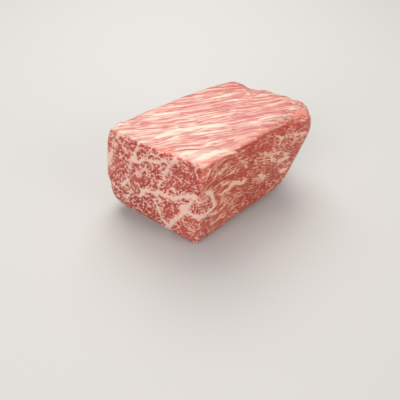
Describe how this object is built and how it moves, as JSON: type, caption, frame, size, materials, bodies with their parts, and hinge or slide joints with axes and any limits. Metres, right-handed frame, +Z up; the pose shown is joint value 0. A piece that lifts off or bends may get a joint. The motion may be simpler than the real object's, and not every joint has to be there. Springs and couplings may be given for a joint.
{
  "type": "raw beef round roast",
  "caption": "Hand-cut block of heavily marbled raw beef round with knife-flat cut faces, long fat streaks on top and a flat underside to lie on.",
  "frame": {"origin": "on the flat underside, below the middle of the block's outline", "axes": "+X along the block from its near cut end to its far end, +Y across it from its right side to its left side, +Z up"},
  "size_m": [0.1736, 0.0998, 0.0952],
  "materials": {
    "beef": "moist raw beef, pink-red lean with pale fat marbling, satin"
  },
  "bodies": {
    "root": {"beef_block": "beef"}
  },
  "joints": []
}
